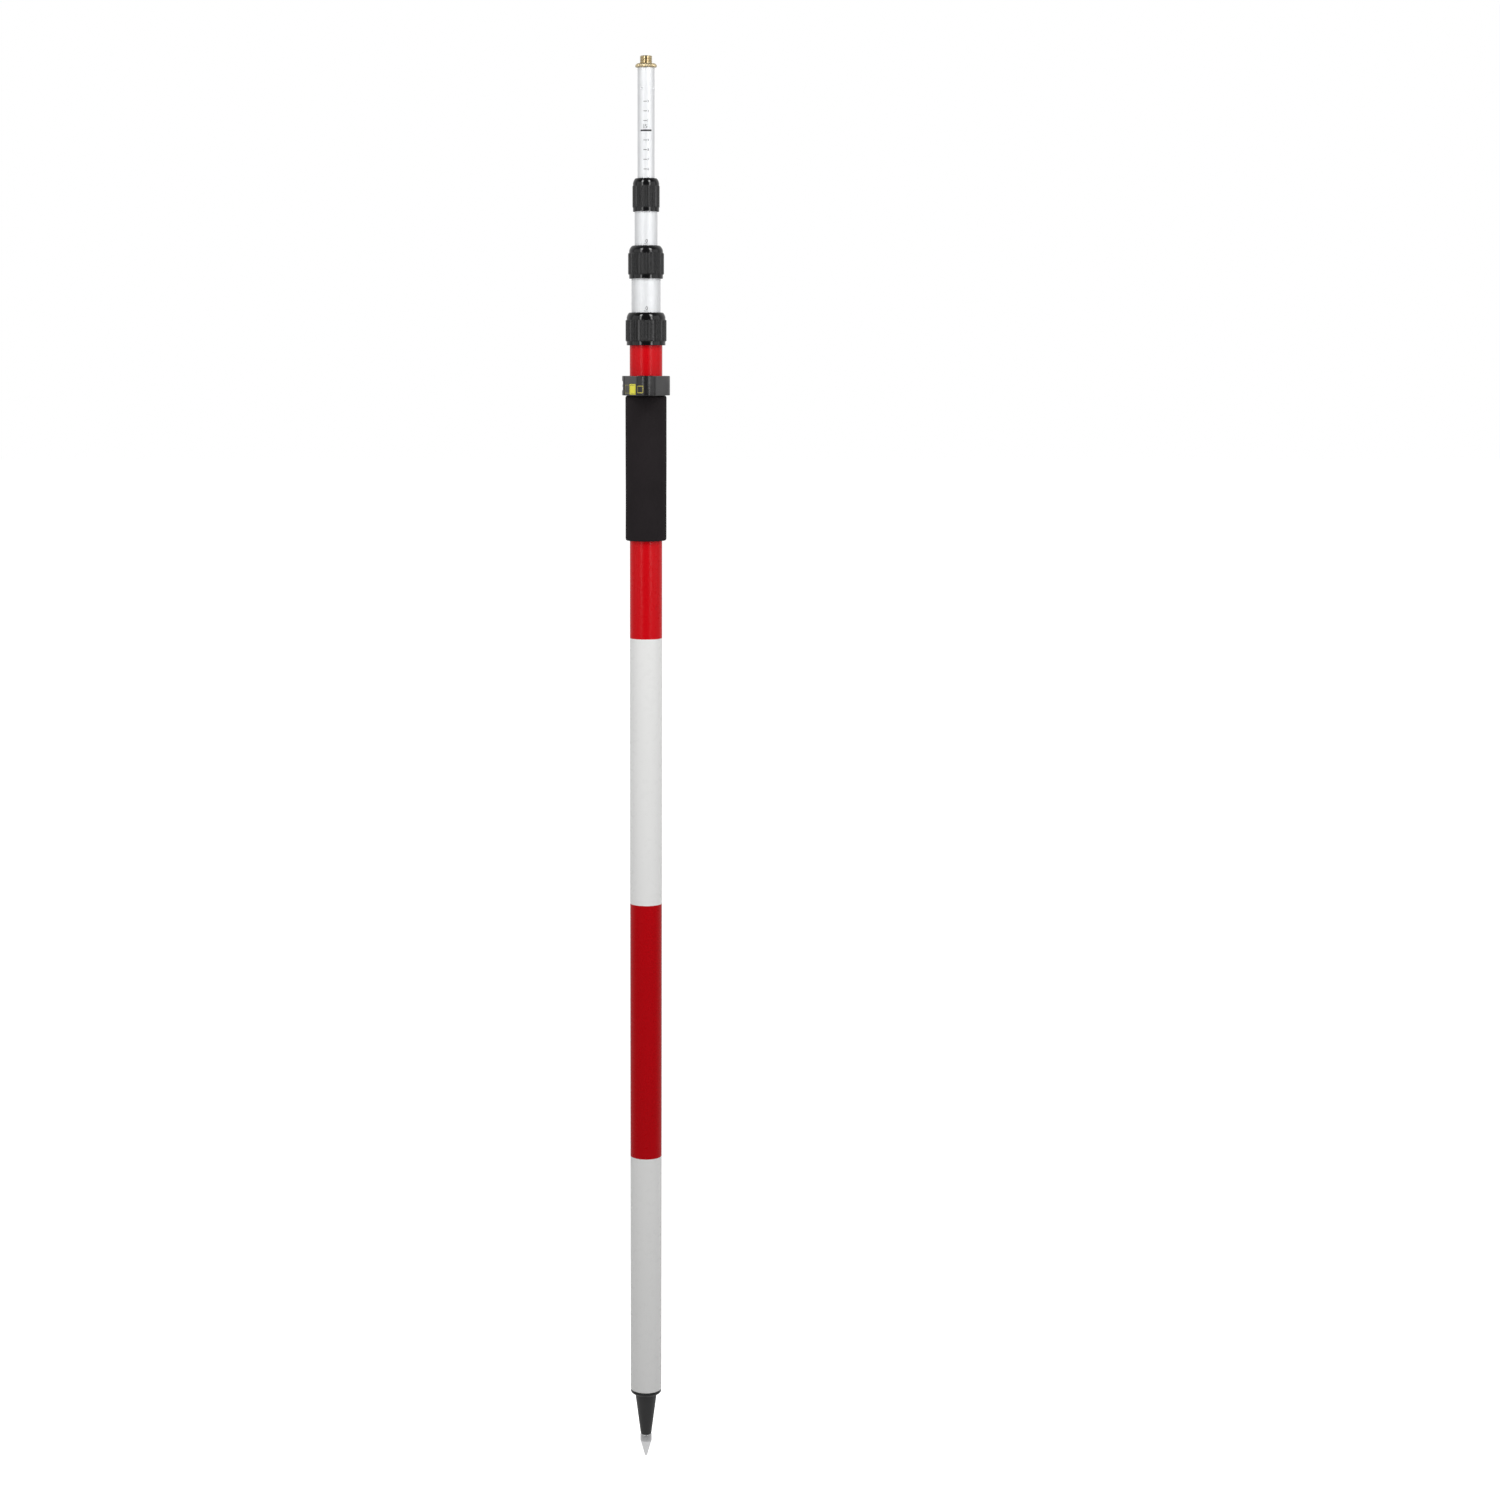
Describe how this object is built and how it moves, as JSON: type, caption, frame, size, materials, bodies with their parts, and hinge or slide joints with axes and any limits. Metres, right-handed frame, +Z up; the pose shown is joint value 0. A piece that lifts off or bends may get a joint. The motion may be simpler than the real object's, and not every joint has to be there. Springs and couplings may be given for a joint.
{
  "type": "telescopic prism pole",
  "caption": "Telescopic surveying pole with twist locks, foam grip, clamp-on circular vial, brass stud on top and a pointed steel foot.",
  "frame": {"origin": "the tip of the steel point, on the pole's axis", "axes": "+Z up the pole towards the brass stud, -Y along the vial bracket's arm, +X to the right seen from the arm's side"},
  "size_m": [0.0514, 0.0707, 1.5512],
  "materials": {
    "painted_tube": "glossy enamel in red and white bands",
    "satin_aluminium": "satin anodised, printed graduations",
    "bright_steel": "turned",
    "brass": "machined",
    "gloss_black": "moulded, semi-gloss",
    "satin_black": "moulded, satin",
    "black_anodised": "black anodised",
    "black_foam": "closed-cell foam",
    "nylon": "natural nylon",
    "rubber": "moulded rubber",
    "vial_glass": "clear",
    "vial_fluid": "tinted fluid",
    "label_yellow": "printed film",
    "label_dark": "printed film"
  },
  "bodies": {
    "main_pole": {"main_tube": "painted_tube", "foam_grip": "black_foam", "shoe_insert": "satin_aluminium", "shoe_cone": "satin_black", "steel_point": "bright_steel", "lower_lock_base": "satin_black", "lower_lock_collet": "nylon"},
    "lower_ring": {"lower_lock_ring": "gloss_black"},
    "section_2": {"tube_2": "satin_aluminium", "tube_2_end_plug": "nylon", "middle_lock_base": "satin_black", "middle_lock_collet": "nylon"},
    "middle_ring": {"middle_lock_ring": "gloss_black"},
    "section_3": {"tube_3": "satin_aluminium", "tube_3_end_plug": "nylon", "upper_lock_base": "satin_black", "upper_lock_collet": "nylon"},
    "upper_ring": {"upper_lock_ring": "gloss_black"},
    "section_4": {"tube_4": "satin_aluminium", "tube_4_end_plug": "nylon", "brass_adapter": "brass"},
    "bracket": {"bracket_body": "black_anodised", "vial_cup": "gloss_black", "vial_fluid": "vial_fluid", "vial_lens": "vial_glass", "vial_o_ring": "rubber", "dark_label": "label_dark", "yellow_label": "label_yellow"},
    "clamp_screw": {"clamp_screw": "bright_steel"},
    "vial_screw_1": {"vial_screw_1": "bright_steel"},
    "vial_screw_2": {"vial_screw_2": "bright_steel"},
    "vial_screw_3": {"vial_screw_3": "bright_steel"}
  },
  "joints": [
    {"name": "section_2_slide", "type": "slide", "parent": "main_pole", "child": "section_2", "axis": [0, 0, 1], "range_m": [0, 1.02]},
    {"name": "section_3_slide", "type": "slide", "parent": "section_2", "child": "section_3", "axis": [0, 0, 1], "range_m": [0, 1.02]},
    {"name": "section_4_slide", "type": "slide", "parent": "section_3", "child": "section_4", "axis": [0, 0, 1], "range_m": [0, 1.02]},
    {"name": "lower_ring_turn", "type": "hinge", "parent": "main_pole", "child": "lower_ring", "pos_m": [0, 0, 1.2665], "axis": [0, 0, 1], "range_deg": [0, 180]},
    {"name": "middle_ring_turn", "type": "hinge", "parent": "section_2", "child": "middle_ring", "pos_m": [0, 0, 1.3369], "axis": [0, 0, 1], "range_deg": [0, 180]},
    {"name": "upper_ring_turn", "type": "hinge", "parent": "section_3", "child": "upper_ring", "pos_m": [0, 0, 1.4071], "axis": [0, 0, 1], "range_deg": [0, 180]},
    {"name": "bracket_turn", "type": "hinge", "parent": "main_pole", "child": "bracket", "pos_m": [0, 0, 1.20645], "axis": [0, 0, 1], "continuous": true},
    {"name": "clamp_screw_turn", "type": "hinge", "parent": "bracket", "child": "clamp_screw", "pos_m": [-0.01983, -0.00905, 1.20645], "axis": [-0.4152, 0.9098, 0], "range_deg": [0, 720]},
    {"name": "vial_screw_1_turn", "type": "hinge", "parent": "bracket", "child": "vial_screw_1", "pos_m": [0, -0.0287, 1.1961], "axis": [0, 0, -1], "range_deg": [-180, 180]},
    {"name": "vial_screw_2_turn", "type": "hinge", "parent": "bracket", "child": "vial_screw_2", "pos_m": [-0.00372, -0.03515, 1.1961], "axis": [0, 0, -1], "range_deg": [-180, 180]},
    {"name": "vial_screw_3_turn", "type": "hinge", "parent": "bracket", "child": "vial_screw_3", "pos_m": [0.00372, -0.03515, 1.1961], "axis": [0, 0, -1], "range_deg": [-180, 180]}
  ]
}
